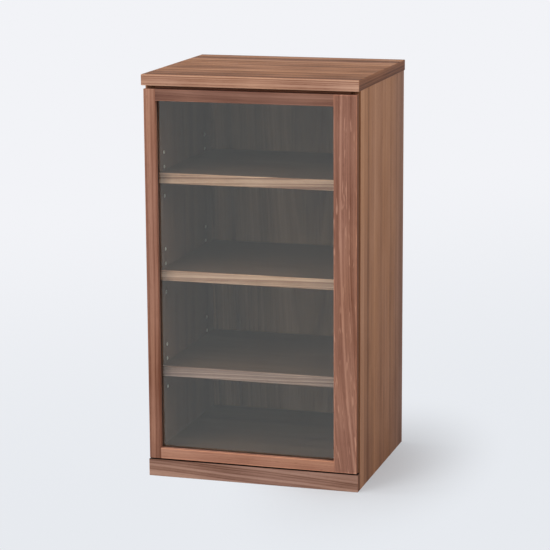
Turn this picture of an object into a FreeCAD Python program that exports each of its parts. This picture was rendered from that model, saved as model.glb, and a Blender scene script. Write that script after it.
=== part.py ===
"""Glass-front cabinet: a walnut carcass, one framed glass door on two concealed hinges, a push latch
and three adjustable shelves.

Millimetres. +X is the cabinet's right as seen from the front, +Y the back, +Z up. The origin is on
the floor, under the middle of the cabinet.
"""
import FreeCAD, Part
import os
import re

doc = FreeCAD.newDocument("GlassFrontCabinet")

# The driving sizes, in millimetres
SIZES = {
    # Whole cabinet and its top board
    "total_height": 830,
    "top_width": 448,
    "total_depth": 383,
    "top_thickness": 22,
    "top_side_overhang": 2,
    "top_front_overhang": 1,
    "board_ease": 0.8,
    # Carcass panels
    "side_thickness": 21,
    "carcass_top_thickness": 21,
    "bottom_thickness": 21,
    "back_thickness": 6,
    "back_recess": 5.5,
    "groove_depth": 6,
    "groove_clearance": 0.2,
    "panel_ease": 0.4,
    # Plinth, rear stretcher and glue blocks
    "plinth_height": 35.5,
    "plinth_thickness": 18,
    "stretcher_thickness": 18,
    "stretcher_lift": 4,
    "block_length": 46,
    "block_side": 18,
    "block_height": 28,
    "block_inset": 51,
    # Door frame
    "door_thickness": 18,
    "door_gap": 2,
    "door_side_inset": 2.5,
    "door_top_gap": 7,
    "door_bottom_gap": 3.5,
    "stile_left_width": 24.5,
    "stile_right_width": 47,
    "rail_top_height": 23,
    "rail_bottom_height": 22,
    "door_ease": 0.5,
    "door_edge_round": 3,
    "tenon_length": 15,
    "tenon_thickness": 7,
    "tenon_setback": 4,
    "tenon_shoulder": 2,
    "joint_clearance": 0.1,
    # Glass and what holds it
    "front_lip": 10,
    "rebate_width": 8,
    "gasket_thickness": 1,
    "gasket_show": 1.5,
    "glass_thickness": 3,
    "glass_clearance": 1,
    "bead_clearance": 0.2,
    # Shelves
    "shelf_thickness": 21,
    "shelf_side_gap": 1,
    "shelf_front_setback": 6,
    "shelf_back_gap": 2,
    "lipping_thickness": 4,
    "shelf_rest_gap": 0.2,
    # Shelf holes, sockets and pins
    "hole_first_height": 175,
    "hole_pitch": 30,
    "hole_top_gap": 122,
    "hole_front_inset": 46,
    "hole_back_inset": 46,
    "socket_radius": 3,
    "socket_depth": 10,
    "socket_flange_radius": 3.6,
    "socket_flange_thickness": 0.6,
    "pin_radius": 2.5,
    "pin_length": 17,
    "pin_reach": 8,
    "fit_clearance": 0.05,
    # Dowels, cam bolts and cam locks of the carcass
    "dowel_radius": 4,
    "dowel_length": 30,
    "dowel_in_side": 11,
    "dowel_inset": 40,
    "dowel_in_plinth": 12,
    "cam_radius": 7.5,
    "cam_depth": 13,
    "cam_distance": 34,
    "cam_inset": 80,
    "bolt_radius": 3,
    "bolt_in_side": 11,
    "cam_slot_width": 1.6,
    "cam_slot_depth": 2,
    # Screws of the top board and of the back panel
    "top_screw_radius": 2,
    "top_screw_length": 36,
    "top_screw_head_radius": 4,
    "top_screw_head_height": 2.4,
    "top_screw_side_inset": 51,
    "top_screw_inset": 50,
    "back_screw_radius": 1.75,
    "back_screw_length": 20,
    "back_screw_head_radius": 3.8,
    "back_screw_head_height": 1.8,
    "back_screw_inset": 31,
    "recess_length": 3.2,
    "recess_width": 0.8,
    "recess_depth": 1,
    # Concealed hinges
    "hinge_end_distance": 100,
    "pivot_inset": 6.5,
    "pivot_pin_radius": 1.5,
    "knuckle_radius": 2.8,
    "arm_thickness": 2.5,
    "arm_height": 20,
    "arm_back_length": 38,
    "arm_screw_radius": 1.75,
    "arm_screw_length": 16,
    "arm_screw_head_radius": 3.3,
    "arm_screw_head_height": 1.5,
    "arm_screw_first": 11,
    "arm_screw_pitch": 18,
    "housing_clearance": 0.4,
    "housing_wall": 1,
    "housing_end_wall": 2.5,
    "flange_thickness": 1.2,
    "flange_reach": 13,
    "housing_screw_radius": 1.5,
    "housing_screw_length": 9,
    "housing_screw_head_radius": 2.6,
    # Push latch
    "latch_sleeve_radius": 5,
    "latch_sleeve_length": 40,
    "latch_sleeve_end": 2,
    "latch_flange_radius": 6.5,
    "latch_flange_thickness": 1,
    "plunger_radius": 4,
    "plunger_length": 28,
    "plunger_tip_gap": 0.2,
    "magnet_radius": 3,
    "magnet_thickness": 1.5,
    "latch_spring_radius": 3.2,
    "latch_spring_wall": 0.8,
    "strike_radius": 7,
    "strike_thickness": 1,
}

# Shelf holes in each group of a column
HOLES_IN_GROUP = 4

# Places worked out from the sizes: planes along Y, heights along Z and half widths along X
PLACES = {
    "half_body": "top_width / 2 - top_side_overhang",
    "inner_half": "half_body - side_thickness",
    "front": "-total_depth / 2",
    "rear": "total_depth / 2",
    "door_front": "front + top_front_overhang",
    "door_back": "door_front + door_thickness",
    "side_front": "door_back + door_gap",
    "side_depth": "rear - side_front",
    "back_rear": "rear - back_recess",
    "back_front": "back_rear - back_thickness",
    "panel_depth": "back_front - side_front",
    "top_under": "total_height - top_thickness",
    "carcass_top_under": "top_under - carcass_top_thickness",
    "carcass_top_middle": "top_under - carcass_top_thickness / 2",
    "bottom_top": "plinth_height + bottom_thickness",
    "bottom_middle": "plinth_height + bottom_thickness / 2",
    "door_half": "half_body - door_side_inset",
    "door_low": "plinth_height + door_bottom_gap",
    "door_high": "top_under - door_top_gap",
    "door_height": "door_high - door_low",
    "stile_left_inner": "-door_half + stile_left_width",
    "stile_right_inner": "door_half - stile_right_width",
    "rail_top_under": "door_high - rail_top_height",
    "rail_bottom_top": "door_low + rail_bottom_height",
    "sight_width": "stile_right_inner - stile_left_inner",
    "sight_height": "rail_top_under - rail_bottom_top",
    "rebate_front": "door_front + front_lip",
    "glass_front": "rebate_front + gasket_thickness",
    "glass_back": "glass_front + glass_thickness",
    "glass_cover": "rebate_width - glass_clearance",
    "bead_thickness": "door_back - glass_back",
    "bead_width": "rebate_width - bead_clearance",
    "tenon_front": "door_front + tenon_setback",
    "shelf_half": "inner_half - shelf_side_gap",
    "shelf_front": "side_front + shelf_front_setback",
    "shelf_rear": "back_front - shelf_back_gap",
    "group_height": f"{HOLES_IN_GROUP - 1} * hole_pitch",
    "last_hole_height": "carcass_top_under - hole_top_gap",
    "group_pitch": "(last_hole_height - group_height - hole_first_height) / 2",
    "hole_front": "side_front + hole_front_inset",
    "hole_rear": "back_front - hole_back_inset",
    "pin_in": "pin_length - pin_reach",
    "dowel_front": "side_front + dowel_inset",
    "dowel_rear": "back_front - dowel_inset",
    "stretcher_rear": "back_front - stretcher_thickness / 2",
    "stretcher_middle": "(stretcher_lift + plinth_height) / 2",
    "dowel_in_panel": "dowel_length - dowel_in_side",
    "plinth_middle": "plinth_height / 2",
    "side_middle": "half_body - side_thickness / 2",
    "cam_front": "side_front + cam_inset",
    "cam_rear": "back_front - cam_inset",
    "bolt_in_panel": "cam_distance - cam_radius",
    "pivot_x": "door_half - pivot_inset",
    "pivot_y": "door_back - pivot_inset",
    "hinge_low": "door_low + hinge_end_distance",
    "hinge_high": "door_high - hinge_end_distance",
    "arm_left": "inner_half - arm_thickness",
    "pocket_left": "arm_left - housing_clearance",
    "pocket_right": "pivot_x + knuckle_radius + housing_clearance",
    "pocket_front": "pivot_y - knuckle_radius - housing_clearance",
    "pocket_height": "arm_height + 2 * housing_clearance",
    "housing_width": "pocket_right - pocket_left + 2 * housing_wall",
    "housing_depth": "door_back - pocket_front + housing_wall",
    "housing_height": "pocket_height + 2 * housing_end_wall",
    "flange_height": "housing_height + 2 * flange_reach",
    "flange_screw": "housing_height / 2 + flange_reach / 2",
    "latch_x": "-half_body + side_thickness / 2",
    "latch_height": "hole_first_height + group_pitch + group_height / 2",
    "plunger_front": "door_back + plunger_tip_gap",
    "plunger_back": "plunger_front + plunger_length",
    "sleeve_back": "side_front + latch_sleeve_length",
    "spring_length": "sleeve_back - latch_sleeve_end - plunger_back",
}

BOX_EDGES = {
    "left_front": "Edge1", "left_back": "Edge3", "right_front": "Edge5", "right_back": "Edge7",
    "left_low": "Edge4", "left_high": "Edge2", "right_low": "Edge8", "right_high": "Edge6",
    "front_low": "Edge9", "front_high": "Edge10", "back_low": "Edge11", "back_high": "Edge12",
}
ALL_EDGES = list(BOX_EDGES)
UPRIGHT_EDGES = ["left_front", "left_back", "right_front", "right_back"]
ALONG_X_EDGES = ["front_low", "front_high", "back_low", "back_high"]

PIN_HOLE_INDEX = 1
SHELVES = ["lower", "middle", "upper"]

sheet = doc.addObject("Spreadsheet::Sheet", "Sizes")
for row, (alias, size) in enumerate(SIZES.items(), start=1):
    sheet.set(f"A{row}", alias.replace("_", " "))
    sheet.set(f"B{row}", str(size))
    sheet.setAlias(f"B{row}", alias)
doc.recompute()


def formula(text):
    """A sum of named places and sizes, written out as an expression on the sheet's cells."""
    def written(match):
        word = match.group(0)
        if word in PLACES:
            return f"({formula(PLACES[word])})"
        if word in SIZES:
            return f"Sizes.{word}"
        raise KeyError(word)
    return re.sub(r"[a-z][a-z_]+", written, text)


def bind(item, **sums):
    for name, text in sums.items():
        item.setExpression(name.replace("__", "."), formula(text))


def put(item, at, turn=None):
    """Bind an object's place, and turn its Z axis to +X or +Y where asked."""
    rotation = FreeCAD.Rotation()
    if turn == "x":
        rotation = FreeCAD.Rotation(FreeCAD.Vector(0, 1, 0), 90)
    if turn == "y":
        rotation = FreeCAD.Rotation(FreeCAD.Vector(1, 0, 0), -90)
    item.Placement = FreeCAD.Placement(FreeCAD.Vector(), rotation)
    x, y, z = at
    bind(item, Placement__Base__x=x, Placement__Base__y=y, Placement__Base__z=z)


# Hardware is made of primitives, grouped where several alike share a node

def box(name, low, size):
    item = doc.addObject("Part::Box", name)
    bind(item, Length=size[0], Width=size[1], Height=size[2])
    put(item, low)
    return item


def rod(name, start, turn, radius, length):
    item = doc.addObject("Part::Cylinder", name)
    bind(item, Radius=radius, Height=length)
    put(item, start, turn)
    return item


def cone(name, start, turn, radius_start, radius_end, length):
    item = doc.addObject("Part::Cone", name)
    bind(item, Radius1=radius_start, Radius2=radius_end, Height=length)
    put(item, start, turn)
    return item


def fuse(name, items):
    item = doc.addObject("Part::MultiFuse", name)
    item.Shapes = items
    return item


def cut(name, base, tools):
    item = doc.addObject("Part::Cut", name)
    item.Base = base
    item.Tool = tools[0] if len(tools) == 1 else fuse(name + "_tools", tools)
    return item


def group(name, items):
    item = doc.addObject("Part::Compound", name)
    item.Label = name
    item.Links = items
    return item


# Boards are bodies: a block with its edges eased, and tenons where it has them. Their cuts and bores
# are gathered, and taken out of each board together at the end

board_cuts = {}


def board(name, low, size, eased=(), ease="panel_ease"):
    body = doc.addObject("PartDesign::Body", name)
    body.Label = name
    block = body.newObject("PartDesign::AdditiveBox", name + "_block")
    bind(block, Length=size[0], Width=size[1], Height=size[2])
    put(block, low)
    if eased:
        chamfer = body.newObject("PartDesign::Chamfer", name + "_ease")
        chamfer.Base = (block, [BOX_EDGES[edge] for edge in eased])
        bind(chamfer, Size=ease)
    return body


def add_box(body, name, low, size):
    extra = body.newObject("PartDesign::AdditiveBox", name)
    bind(extra, Length=size[0], Width=size[1], Height=size[2])
    put(extra, low)


def cut_box(body, name, low, size):
    board_cuts.setdefault(body, []).append(box(name, low, size))


def bore(body, name, start, turn, radius, length):
    board_cuts.setdefault(body, []).append(rod(name, start, turn, radius, length))


def countersink(body, name, start, turn, radius_start, radius_end, length):
    board_cuts.setdefault(body, []).append(
        cone(name, start, turn, radius_start, radius_end, length))


def cross_recess(name, centre, turn, outward, head_top):
    """Two crossed slots, cut into a screw's head from its top."""
    half, wide, deep = "recess_length / 2", "recess_width / 2", "recess_depth"
    across = ["x", "y", "z"]
    across.remove(turn)
    slots = []
    for number, (first, second) in enumerate([(half, wide), (wide, half)]):
        reach = {across[0]: first, across[1]: second}
        low, size = [], []
        for place, axis in zip(centre, "xyz"):
            if axis == turn:
                low.append(f"{head_top} - {deep}" if outward > 0 else head_top)
                size.append(deep)
            else:
                low.append(f"{place} - {reach[axis]}")
                size.append(f"2 * {reach[axis]}")
        slots.append(box(f"{name}_slot_{number}", low, size))
    return slots


SIDES = [("left", -1), ("right", 1)]

# Top board: one wide board that lies on the side panels and overhangs them

top_board = board("top_board", ["-top_width / 2", "front", "top_under"],
                  ["top_width", "total_depth", "top_thickness"], ALL_EDGES, "board_ease")

# Side panels: they stand on the floor, grooved for the back panel and bored for sockets and joints

SHELF_GROUPS = range(len(SHELVES))
HOLE_HEIGHTS = [
    f"hole_first_height + {place} * group_pitch + {hole} * hole_pitch"
    for place in SHELF_GROUPS for hole in range(HOLES_IN_GROUP)
]
HOLE_COLUMNS = ["hole_front", "hole_rear"]
JOINT_LEVELS = [("bottom", "bottom_middle"), ("top", "carcass_top_middle")]
DOWEL_PLACES = ["dowel_front", "dowel_rear"]
SIDE_DOWELS = [(place, height) for _, height in JOINT_LEVELS for place in DOWEL_PLACES]
SIDE_DOWELS.append(("stretcher_rear", "stretcher_middle"))
CAM_PLACES = ["cam_front", "cam_rear"]
HINGE_LEVELS = [("lower", "hinge_low"), ("upper", "hinge_high")]


def arm_screw_places():
    return ["side_front + arm_screw_first",
            "side_front + arm_screw_first + arm_screw_pitch"]


side_panels = {}
for side, sign in SIDES:
    outer_low = "-half_body" if sign < 0 else "inner_half"
    name = f"side_panel_{side}"
    panel = board(name, [outer_low, "side_front", "0"],
                  ["side_thickness", "side_depth", "top_under"], ALL_EDGES)
    groove_low = "-inner_half - groove_depth" if sign < 0 else "inner_half"
    cut_box(panel, f"{name}_groove", [groove_low, "back_front", "plinth_height"],
            ["groove_depth", "back_thickness + groove_clearance", "total_height"])
    for column_number, column in enumerate(HOLE_COLUMNS):
        for number, height in enumerate(HOLE_HEIGHTS):
            start = "-inner_half - socket_depth" if sign < 0 else "inner_half"
            bore(panel, f"{name}_hole_{column_number}_{number}", [start, column, height], "x",
                 "socket_radius", "socket_depth")
    for number, (place, height) in enumerate(SIDE_DOWELS):
        start = "-inner_half - dowel_in_side" if sign < 0 else "inner_half"
        bore(panel, f"{name}_dowel_{number}", [start, place, height], "x",
             "dowel_radius", "dowel_in_side")
    bore(panel, f"{name}_plinth_dowel", [f"{sign} * side_middle", "side_front", "plinth_middle"],
         "y", "dowel_radius", "dowel_length - dowel_in_plinth")
    for level, height in JOINT_LEVELS:
        for number, place in enumerate(CAM_PLACES):
            start = "-inner_half - bolt_in_side" if sign < 0 else "inner_half"
            bore(panel, f"{name}_bolt_{level}_{number}", [start, place, height], "x",
                 "bolt_radius", "bolt_in_side")
    side_panels[side] = panel

for level, height in HINGE_LEVELS:
    for number, place in enumerate(arm_screw_places()):
        bore(side_panels["right"], f"side_panel_right_arm_{level}_{number}",
             ["inner_half", place, height], "x", "arm_screw_radius", "arm_screw_length")
bore(side_panels["left"], "side_panel_left_latch", ["latch_x", "side_front", "latch_height"], "y",
     "latch_sleeve_radius", "latch_sleeve_length")

# Carcass top and bottom panel: they tie the side panels together


def tie_panel(name, low, thickness, middle, cam_open_up):
    panel = board(name, ["-inner_half", "side_front", low],
                  ["2 * inner_half", "panel_depth", thickness], ALONG_X_EDGES)
    for side, sign in SIDES:
        for number, place in enumerate(DOWEL_PLACES):
            start = "-inner_half" if sign < 0 else "inner_half - dowel_in_panel"
            bore(panel, f"{name}_dowel_{side}_{number}", [start, place, middle], "x",
                 "dowel_radius", "dowel_in_panel")
        for number, place in enumerate(CAM_PLACES):
            start = "-inner_half" if sign < 0 else "inner_half - cam_distance"
            bore(panel, f"{name}_bolt_{side}_{number}", [start, place, middle], "x",
                 "bolt_radius", "cam_distance")
            cam_x = f"{sign} * (inner_half - cam_distance)"
            cam_low = f"{low} + {thickness} - cam_depth" if cam_open_up else low
            bore(panel, f"{name}_cam_{side}_{number}", [cam_x, place, cam_low], None,
                 "cam_radius", "cam_depth")
    return panel


carcass_top = tie_panel("carcass_top", "carcass_top_under", "carcass_top_thickness",
                        "carcass_top_middle", True)
bottom_panel = tie_panel("bottom_panel", "plinth_height", "bottom_thickness",
                         "bottom_middle", False)

TOP_SCREW_PLACES = [(f"{sign} * (inner_half - top_screw_side_inset)", place) for _, sign in SIDES
                    for place in ("side_front + top_screw_inset", "back_front - top_screw_inset")]
for number, (x, y) in enumerate(TOP_SCREW_PLACES):
    bore(carcass_top, f"carcass_top_screw_{number}", [x, y, "carcass_top_under"], None,
         "top_screw_radius", "carcass_top_thickness")
    countersink(carcass_top, f"carcass_top_sink_{number}", [x, y, "carcass_top_under"], None,
                "top_screw_head_radius", "top_screw_radius", "top_screw_head_height")
    bore(top_board, f"top_board_screw_{number}", [x, y, "top_under"], None,
         "top_screw_radius", "top_screw_length - carcass_top_thickness")

BACK_SCREW_PLACES = [(f"{step} * (inner_half - back_screw_inset)", height) for step in (-1, 0, 1)
                     for height in ("bottom_middle", "carcass_top_middle")]
for number, (x, z) in enumerate(BACK_SCREW_PLACES):
    target = bottom_panel if z == "bottom_middle" else carcass_top
    bore(target, f"{target.Label}_back_screw_{number}",
         [x, "back_rear - back_screw_length", z], "y", "back_screw_radius",
         "back_screw_length - back_thickness")

# Back panel: a thin panel in the side panels' grooves, screwed to the tie panels' rear edges

back_half = "inner_half + groove_depth - groove_clearance"
back_panel = board("back_panel", [f"-({back_half})", "back_front", "plinth_height"],
                   [f"2 * ({back_half})", "back_thickness", "top_under - plinth_height"])
for number, (x, z) in enumerate(BACK_SCREW_PLACES):
    bore(back_panel, f"back_panel_screw_{number}", [x, "back_front", z], "y",
         "back_screw_radius", "back_thickness")

# Plinth board, rear stretcher and glue blocks: the base between and in front of the side panels

plinth_board = board("plinth_board", ["-half_body", "side_front - plinth_thickness", "0"],
                     ["2 * half_body", "plinth_thickness", "plinth_height"], ALL_EDGES)
rear_stretcher = board("rear_stretcher",
                       ["-inner_half", "back_front - stretcher_thickness", "stretcher_lift"],
                       ["2 * inner_half", "stretcher_thickness", "plinth_height - stretcher_lift"],
                       ALONG_X_EDGES)
for side, sign in SIDES:
    start = "-inner_half" if sign < 0 else "inner_half - dowel_in_panel"
    bore(rear_stretcher, f"rear_stretcher_dowel_{side}",
         [start, "stretcher_rear", "stretcher_middle"], "x", "dowel_radius", "dowel_in_panel")
    bore(plinth_board, f"plinth_board_dowel_{side}",
         [f"{sign} * side_middle", "side_front - dowel_in_plinth", "plinth_middle"], "y",
         "dowel_radius", "dowel_in_plinth")
group("plinth_blocks", [
    box(f"plinth_block_{number}",
        [f"{step} * (inner_half - block_inset) - block_length / 2", "side_front", "plinth_height - block_height"],
        ["block_length", "block_side", "block_height"])
    for number, step in enumerate((-1, 0, 1))])

# Sockets and pins of the shelves: a metal sleeve in every hole, a steel pin under each shelf's ends


def socket(name, side, sign, y, z):
    mouth = "-inner_half" if sign < 0 else "inner_half"
    inner_start = f"{mouth} - socket_depth" if sign < 0 else mouth
    flange_start = mouth if sign < 0 else f"{mouth} - socket_flange_thickness"
    sleeve = rod(name + "_sleeve", [inner_start, y, z], "x", "socket_radius", "socket_depth")
    flange = rod(name + "_flange", [flange_start, y, z], "x", "socket_flange_radius",
                 "socket_flange_thickness")
    bore_start = inner_start if sign < 0 else flange_start
    hollow = rod(name + "_bore", [bore_start, y, z], "x", "pin_radius + fit_clearance",
                 "socket_depth + socket_flange_thickness")
    return cut(name, fuse(name + "_body", [sleeve, flange]), [hollow])


group("shelf_sockets", [
    socket(f"socket_{side}_{column_number}_{number}", side, sign, column, height)
    for side, sign in SIDES
    for column_number, column in enumerate(HOLE_COLUMNS)
    for number, height in enumerate(HOLE_HEIGHTS)])

pins = []
for side, sign in SIDES:
    start = "-inner_half - pin_in" if sign < 0 else "inner_half - pin_reach"
    for column_number, column in enumerate(HOLE_COLUMNS):
        for place in SHELF_GROUPS:
            height = HOLE_HEIGHTS[place * HOLES_IN_GROUP + PIN_HOLE_INDEX]
            pins.append(rod(f"pin_{side}_{column_number}_{place}", [start, column, height], "x",
                            "pin_radius", "pin_length"))
group("shelf_pins", pins)

# Shelves: a board on four pins, with a lipping strip glued along its front edge

for place, shelf in enumerate(SHELVES):
    low = f"{HOLE_HEIGHTS[place * HOLES_IN_GROUP + PIN_HOLE_INDEX]} + pin_radius + shelf_rest_gap"
    board(f"shelf_{shelf}", ["-shelf_half", "shelf_front + lipping_thickness", low],
          ["2 * shelf_half", "shelf_rear - shelf_front - lipping_thickness", "shelf_thickness"],
          ["back_low", "back_high"])
    board(f"shelf_lipping_{shelf}", ["-shelf_half", "shelf_front", low],
          ["2 * shelf_half", "lipping_thickness", "shelf_thickness"],
          ["front_low", "front_high"], "board_ease")

# Dowels, cam bolts and cam locks: they hold the tie panels between the side panels

dowels, bolts, cams = [], [], []
for side, sign in SIDES:
    start = "-inner_half - dowel_in_side" if sign < 0 else "inner_half - dowel_in_panel"
    for number, (place, height) in enumerate(SIDE_DOWELS):
        dowels.append(rod(f"dowel_{side}_{number}", [start, place, height], "x",
                          "dowel_radius - fit_clearance", "dowel_length"))
    dowels.append(rod(f"plinth_dowel_{side}",
                      [f"{sign} * side_middle", "side_front - dowel_in_plinth", "plinth_middle"],
                      "y", "dowel_radius - fit_clearance", "dowel_length"))
    for level, height in JOINT_LEVELS:
        for number, place in enumerate(CAM_PLACES):
            start = "-inner_half - bolt_in_side" if sign < 0 else "inner_half - bolt_in_panel"
            bolts.append(rod(f"cam_bolt_{side}_{level}_{number}", [start, place, height], "x",
                             "bolt_radius - fit_clearance", "bolt_in_side + bolt_in_panel"))
            cam_x = f"{sign} * (inner_half - cam_distance)"
            above = level == "top"
            cam_low = "top_under - cam_depth" if above else "plinth_height"
            lock = rod(f"cam_{side}_{level}_{number}_body", [cam_x, place, cam_low], None,
                       "cam_radius - fit_clearance", "cam_depth")
            slot_low = "top_under - cam_slot_depth" if above else "plinth_height"
            slot = box(f"cam_{side}_{level}_{number}_slot",
                       [f"{cam_x} - cam_slot_width / 2", f"{place} - cam_radius / 2", slot_low],
                       ["cam_slot_width", "cam_radius", "cam_slot_depth"])
            cams.append(cut(f"cam_{side}_{level}_{number}", lock, [slot]))
group("carcass_dowels", dowels)
group("cam_bolts", bolts)
group("cam_locks", cams)

# Screws of the top board, driven up through the carcass top, and of the back panel

top_screws = []
for number, (x, y) in enumerate(TOP_SCREW_PLACES):
    name = f"top_screw_{number}"
    shank = rod(name + "_shank", [x, y, "carcass_top_under"], None,
                "top_screw_radius - fit_clearance", "top_screw_length")
    head = cone(name + "_head", [x, y, "carcass_top_under"], None,
                "top_screw_head_radius - fit_clearance", "top_screw_radius - fit_clearance",
                "top_screw_head_height")
    recess = cross_recess(name, [x, y, "0"], "z", -1, "carcass_top_under")
    top_screws.append(cut(name, fuse(name + "_blank", [shank, head]), recess))
group("top_board_screws", top_screws)

back_screws = []
for number, (x, z) in enumerate(BACK_SCREW_PLACES):
    name = f"back_screw_{number}"
    shank = rod(name + "_shank", [x, "back_rear - back_screw_length", z], "y",
                "back_screw_radius - fit_clearance", "back_screw_length")
    head = cone(name + "_head", [x, "back_rear", z], "y",
                "back_screw_head_radius", "back_screw_radius", "back_screw_head_height")
    recess = cross_recess(name, [x, "0", z], "y", 1, "back_rear + back_screw_head_height")
    back_screws.append(cut(name, fuse(name + "_blank", [shank, head]), recess))
group("back_panel_screws", back_screws)

# Door frame: full-height stiles with the rails tenoned between them, rebated behind for the glass

stile_left = board("door_stile_left", ["-door_half", "door_front", "door_low"],
                   ["stile_left_width", "door_thickness", "door_height"], UPRIGHT_EDGES,
                   "door_ease")
stile_right = board("door_stile_right", ["stile_right_inner", "door_front", "door_low"],
                    ["stile_right_width", "door_thickness", "door_height"],
                    ["right_front"], "door_ease")


def back_right_edge(shape):
    """The name of the upright edge furthest to the right and the back."""
    middles = [edge.CenterOfMass for edge in shape.Edges]
    reach = [middle.x + middle.y for middle in middles]
    return f"Edge{reach.index(max(reach)) + 1}"


doc.recompute()
eased_stile = stile_right.Tip
back_round = stile_right.newObject("PartDesign::Fillet", "door_stile_right_round")
back_round.Base = (eased_stile, [back_right_edge(eased_stile.Shape)])
bind(back_round, Radius="door_edge_round")

rebate_depth = "door_back - rebate_front"
rebate_height = "sight_height + 2 * rebate_width"
rebate_low = "rail_bottom_top - rebate_width"
cut_box(stile_left, "door_stile_left_rebate",
        ["stile_left_inner - rebate_width", "rebate_front", rebate_low],
        ["rebate_width", rebate_depth, rebate_height])
cut_box(stile_right, "door_stile_right_rebate",
        ["stile_right_inner", "rebate_front", rebate_low],
        ["rebate_width", rebate_depth, rebate_height])

rail_top = board("door_rail_top", ["stile_left_inner", "door_front", "rail_top_under"],
                 ["sight_width", "door_thickness", "rail_top_height"],
                 ["front_high", "back_high"], "door_ease")
rail_bottom = board("door_rail_bottom", ["stile_left_inner", "door_front", "door_low"],
                    ["sight_width", "door_thickness", "rail_bottom_height"],
                    ["front_low", "back_low"], "door_ease")
cut_box(rail_top, "door_rail_top_rebate", ["stile_left_inner", "rebate_front", "rail_top_under"],
        ["sight_width", rebate_depth, "rebate_width"])
cut_box(rail_bottom, "door_rail_bottom_rebate",
        ["stile_left_inner", "rebate_front", "rail_bottom_top - rebate_width"],
        ["sight_width", rebate_depth, "rebate_width"])


def tenons(rail, rail_height, solid_low):
    """A stub tenon on each end of a rail, in the part outside the glass rebate, with its mortise."""
    high = f"{rail_height} - rebate_width - 2 * tenon_shoulder"
    low = f"{solid_low} + tenon_shoulder"
    name = rail.Label
    for side, sign in SIDES:
        start = "stile_left_inner - tenon_length" if sign < 0 else "stile_right_inner"
        add_box(rail, f"{name}_tenon_{side}", [start, "tenon_front", low],
                ["tenon_length", "tenon_thickness", high])
        stile = stile_left if sign < 0 else stile_right
        mortise = (f"{start} - joint_clearance" if sign < 0 else start)
        cut_box(stile, f"{name}_mortise_{side}",
                [mortise, "tenon_front - joint_clearance", f"{low} - joint_clearance"],
                ["tenon_length + joint_clearance", "tenon_thickness + 2 * joint_clearance",
                 f"{high} + 2 * joint_clearance"])


tenons(rail_top, "rail_top_height", "rail_top_under + rebate_width")
tenons(rail_bottom, "rail_bottom_height", "door_low")

# Glass, the gasket in front of it and the beads behind it

board("door_glass",
      ["stile_left_inner - glass_cover", "glass_front", "rail_bottom_top - glass_cover"],
      ["sight_width + 2 * glass_cover", "glass_thickness", "sight_height + 2 * glass_cover"])

gasket = board("glazing_gasket",
               ["stile_left_inner - glass_cover", "rebate_front", "rail_bottom_top - glass_cover"],
               ["sight_width + 2 * glass_cover", "gasket_thickness",
                "sight_height + 2 * glass_cover"])
cut_box(gasket, "glazing_gasket_opening",
        ["stile_left_inner + gasket_show", "rebate_front", "rail_bottom_top + gasket_show"],
        ["sight_width - 2 * gasket_show", "gasket_thickness", "sight_height - 2 * gasket_show"])

bead_long = "sight_height + 2 * bead_width"
group("glazing_beads", [
    box("bead_left", ["stile_left_inner - bead_width", "glass_back", "rail_bottom_top - bead_width"],
        ["bead_width", "bead_thickness", bead_long]),
    box("bead_right", ["stile_right_inner", "glass_back", "rail_bottom_top - bead_width"],
        ["bead_width", "bead_thickness", bead_long]),
    box("bead_top", ["stile_left_inner", "glass_back", "rail_top_under"],
        ["sight_width", "bead_thickness", "bead_width"]),
    box("bead_bottom", ["stile_left_inner", "glass_back", "rail_bottom_top - bead_width"],
        ["sight_width", "bead_thickness", "bead_width"])])

# Concealed hinges: a cranked arm on the side panel reaches into a housing let into the wide stile,
# and turns there on a pin close to the door's back corner

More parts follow.
